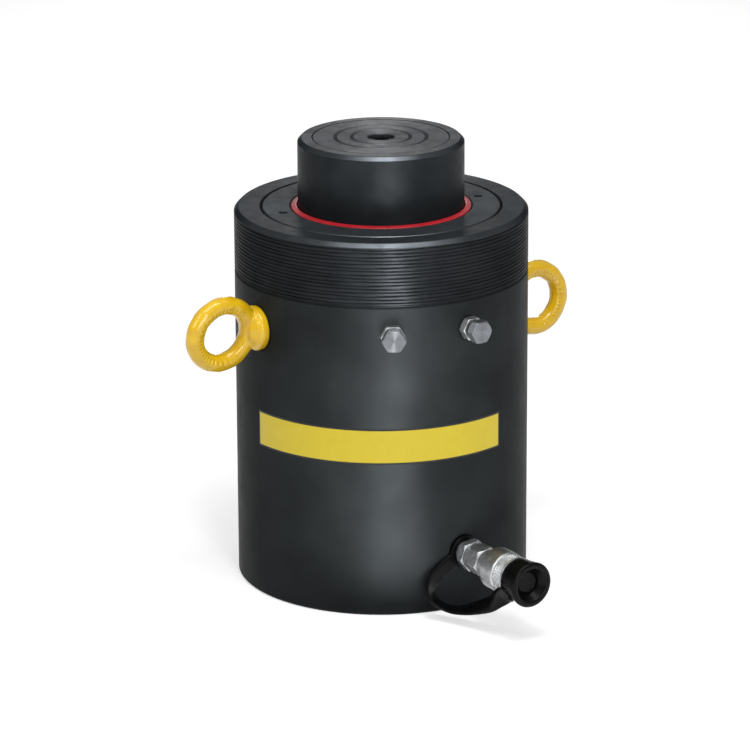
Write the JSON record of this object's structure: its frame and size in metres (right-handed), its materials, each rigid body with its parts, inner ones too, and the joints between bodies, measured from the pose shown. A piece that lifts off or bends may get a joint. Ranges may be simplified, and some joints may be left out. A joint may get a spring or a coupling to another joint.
{
  "type": "hydraulic cylinder",
  "caption": "Short, high-tonnage hydraulic cylinder with a round casing, plunger with grooved saddle, lifting eyes, vent plugs and a capped quick coupler.",
  "frame": {"origin": "centre of the flat base of the casing, on the cylinder's axis", "axes": "+Z along the cylinder's axis towards the saddle, -Y along the coupler, +X and -X through the two lifting eyes"},
  "size_m": [0.425, 0.3868, 0.423],
  "materials": {
    "painted_steel": "satin",
    "blackened_steel": "satin",
    "machined_steel": "satin",
    "zinc_plated_steel": "satin",
    "yellow_enamel": "gloss",
    "red_polyurethane": "satin",
    "blue_polyurethane": "satin",
    "white_acetal": "satin",
    "bronze": "satin",
    "black_rubber": "matte",
    "spring_steel": "satin"
  },
  "bodies": {
    "casing": {"cylinder_body": "painted_steel", "stop_ring": "blackened_steel", "wiper_seal": "red_polyurethane", "rod_bearing": "bronze", "stop_ring_o_ring": "black_rubber", "eye_bolt_left": "yellow_enamel", "eye_bolt_right": "yellow_enamel", "vent_washer_front": "black_rubber", "vent_adapter_front": "zinc_plated_steel", "vent_seal_front": "black_rubber", "vent_plug_front": "zinc_plated_steel", "vent_washer_side": "black_rubber", "vent_adapter_side": "zinc_plated_steel", "vent_seal_side": "black_rubber", "vent_plug_side": "zinc_plated_steel", "port_nipple": "zinc_plated_steel", "coupler_body": "zinc_plated_steel", "coupler_o_ring": "black_rubber", "collar_snap_ring": "spring_steel", "poppet_spring": "spring_steel", "dust_cap_strap": "black_rubber"},
    "plunger": {"plunger": "blackened_steel", "piston": "machined_steel", "piston_seal": "blue_polyurethane", "piston_backup_ring": "white_acetal", "piston_guide_ring_lower": "bronze", "piston_guide_ring_upper": "bronze", "piston_o_ring": "black_rubber", "piston_nut": "machined_steel", "saddle": "blackened_steel", "saddle_screw": "blackened_steel"},
    "collar": {"coupler_collar": "zinc_plated_steel"},
    "poppet": {"coupler_poppet": "machined_steel"},
    "cap": {"dust_cap": "black_rubber"}
  },
  "joints": [
    {"name": "plunger_stroke", "type": "slide", "parent": "casing", "child": "plunger", "axis": [0, 0, 1], "range_m": [-0.062, 0.088]},
    {"name": "collar_turn", "type": "hinge", "parent": "casing", "child": "collar", "pos_m": [0, -0.2, 0.056], "axis": [0, -1, 0], "continuous": true},
    {"name": "cap_pull", "type": "slide", "parent": "casing", "child": "cap", "axis": [0, -1, 0], "range_m": [0, 0.028], "deforming": ["dust_cap_strap"]},
    {"name": "poppet_travel", "type": "slide", "parent": "casing", "child": "poppet", "axis": [0, 1, 0], "range_m": [0, 0.006], "stiffness_N_per_m": 1500, "springref_m": -0.004, "deforming": ["poppet_spring"]}
  ]
}
